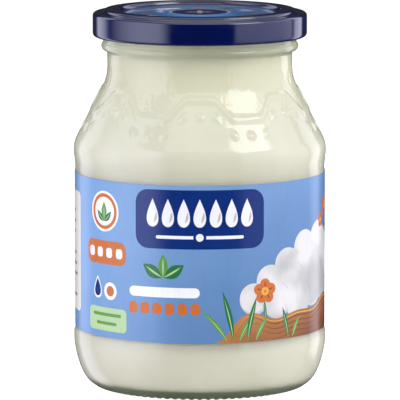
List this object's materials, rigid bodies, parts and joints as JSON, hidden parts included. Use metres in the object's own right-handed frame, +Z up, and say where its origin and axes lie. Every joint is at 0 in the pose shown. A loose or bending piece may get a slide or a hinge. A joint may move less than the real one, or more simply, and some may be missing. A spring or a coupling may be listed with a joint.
{
  "type": "jar of yogurt",
  "caption": "Shut glass jar filled with set white yogurt, with a navy metal twist-off lid and a light blue paper label; a food item that stands on a table or shelf.",
  "frame": {"origin": "centre of the foot ring, at the height of the surface that the jar stands on", "axes": "+Z up along the jar's axis, -Y towards the middle of the label's front, +X to the right of the front"},
  "size_m": [0.0864, 0.0864, 0.1292],
  "materials": {
    "jar_glass": "clear, faintly green, smooth and glossy",
    "set_yogurt": "stands in for set whole-milk yogurt: creamy white, moist, smooth",
    "lid_lacquer": "glossy navy lacquer on tinplate",
    "label_paper": "coated, printed light blue, with a soft gloss"
  },
  "bodies": {
    "root": {"glass_jar": "jar_glass", "yogurt": "set_yogurt", "lid": "lid_lacquer", "label": "label_paper"}
  },
  "joints": []
}
